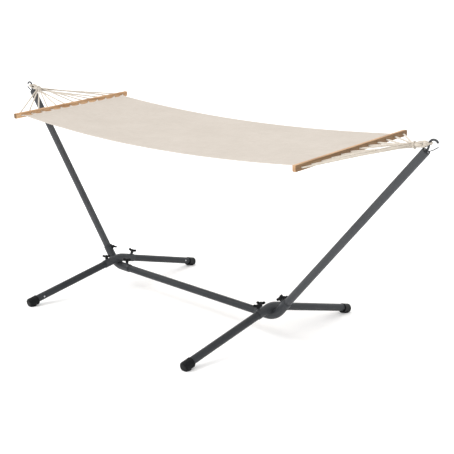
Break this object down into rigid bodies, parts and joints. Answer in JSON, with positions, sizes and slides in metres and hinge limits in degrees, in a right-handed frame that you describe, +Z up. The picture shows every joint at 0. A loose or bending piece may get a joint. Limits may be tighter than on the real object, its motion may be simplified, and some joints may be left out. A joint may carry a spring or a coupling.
{
  "type": "hammock on stand",
  "caption": "Cotton hammock with wooden spreader bars, hung by fanned cords from the hooks of a two-upright steel tube stand with splayed legs.",
  "frame": {"origin": "centre of the bounding box, at floor level", "axes": "+X along the hammock from the left upright to the right upright, +Y across it to the rear, +Z up"},
  "size_m": [3.116, 1.3194, 1.178],
  "materials": {
    "tube_steel": "semi-gloss powder coat, anthracite",
    "hook_steel": "semi-gloss, near black",
    "black_plastic": "matte moulded",
    "zinc": "zinc plated",
    "beech": "sanded and oiled",
    "rope": "twisted cotton cord",
    "cotton": "plain-woven cotton canvas"
  },
  "bodies": {
    "stand": {"spine_tube": "tube_steel", "left_hub": "tube_steel", "left_upright": "tube_steel", "left_front_leg": "tube_steel", "left_front_foot_cap": "black_plastic", "left_front_foot_screw": "zinc", "left_rear_leg": "tube_steel", "left_rear_foot_cap": "black_plastic", "left_rear_foot_screw": "zinc", "left_hook": "hook_steel", "left_keeper_pin": "zinc", "right_hub": "tube_steel", "right_upright": "tube_steel", "right_front_leg": "tube_steel", "right_front_foot_cap": "black_plastic", "right_front_foot_screw": "zinc", "right_rear_leg": "tube_steel", "right_rear_foot_cap": "black_plastic", "right_rear_foot_screw": "zinc", "right_hook": "hook_steel", "right_keeper_pin": "zinc"},
    "hammock": {"bed": "cotton", "left_ring": "zinc", "left_cord_1": "rope", "left_cord_2": "rope", "left_cord_3": "rope", "left_cord_4": "rope", "left_cord_5": "rope", "left_cord_6": "rope", "left_tie": "rope", "left_spreader_bar": "beech", "right_ring": "zinc", "right_cord_1": "rope", "right_cord_2": "rope", "right_cord_3": "rope", "right_cord_4": "rope", "right_cord_5": "rope", "right_cord_6": "rope", "right_tie": "rope", "right_spreader_bar": "beech"},
    "left_upright_knob": {"left_upright_knob": "black_plastic"},
    "left_spine_knob": {"left_spine_knob": "black_plastic"},
    "left_front_leg_knob": {"left_front_leg_knob": "black_plastic"},
    "left_rear_leg_knob": {"left_rear_leg_knob": "black_plastic"},
    "left_keeper": {"left_keeper": "zinc"},
    "right_upright_knob": {"right_upright_knob": "black_plastic"},
    "right_spine_knob": {"right_spine_knob": "black_plastic"},
    "right_front_leg_knob": {"right_front_leg_knob": "black_plastic"},
    "right_rear_leg_knob": {"right_rear_leg_knob": "black_plastic"},
    "right_keeper": {"right_keeper": "zinc"}
  },
  "joints": [
    {"name": "hammock_swing", "type": "hinge", "parent": "stand", "child": "hammock", "pos_m": [0, 0, 1.155], "axis": [1, 0, 0], "range_deg": [-30, 30]},
    {"name": "left_upright_knob_turn", "type": "hinge", "parent": "stand", "child": "left_upright_knob", "pos_m": [-0.71897, 0, 0.20279], "axis": [0.7627, 0, 0.6468], "range_deg": [0, 720]},
    {"name": "left_spine_knob_turn", "type": "hinge", "parent": "stand", "child": "left_spine_knob", "pos_m": [-0.551, 0, 0.125], "axis": [0, 0, 1], "range_deg": [0, 720]},
    {"name": "left_front_leg_knob_turn", "type": "hinge", "parent": "stand", "child": "left_front_leg_knob", "pos_m": [-0.62768, -0.09241, 0.15415], "axis": [0.1186, -0.2317, 0.9655], "range_deg": [0, 720]},
    {"name": "left_rear_leg_knob_turn", "type": "hinge", "parent": "stand", "child": "left_rear_leg_knob", "pos_m": [-0.62768, 0.09241, 0.15415], "axis": [0.1186, 0.2317, 0.9655], "range_deg": [0, 720]},
    {"name": "left_keeper_hinge", "type": "hinge", "parent": "stand", "child": "left_keeper", "pos_m": [-1.5089, 0, 1.1126], "axis": [0, 1, 0], "range_deg": [0, 30], "stiffness_Nm_per_rad": 0.02},
    {"name": "right_upright_knob_turn", "type": "hinge", "parent": "stand", "child": "right_upright_knob", "pos_m": [0.71897, 0, 0.20279], "axis": [-0.7627, 0, 0.6468], "range_deg": [0, 720]},
    {"name": "right_spine_knob_turn", "type": "hinge", "parent": "stand", "child": "right_spine_knob", "pos_m": [0.551, 0, 0.125], "axis": [0, 0, 1], "range_deg": [0, 720]},
    {"name": "right_front_leg_knob_turn", "type": "hinge", "parent": "stand", "child": "right_front_leg_knob", "pos_m": [0.62768, -0.09241, 0.15415], "axis": [-0.1186, -0.2317, 0.9655], "range_deg": [0, 720]},
    {"name": "right_rear_leg_knob_turn", "type": "hinge", "parent": "stand", "child": "right_rear_leg_knob", "pos_m": [0.62768, 0.09241, 0.15415], "axis": [-0.1186, 0.2317, 0.9655], "range_deg": [0, 720]},
    {"name": "right_keeper_hinge", "type": "hinge", "parent": "stand", "child": "right_keeper", "pos_m": [1.5089, 0, 1.1126], "axis": [0, -1, 0], "range_deg": [0, 30], "stiffness_Nm_per_rad": 0.02}
  ]
}
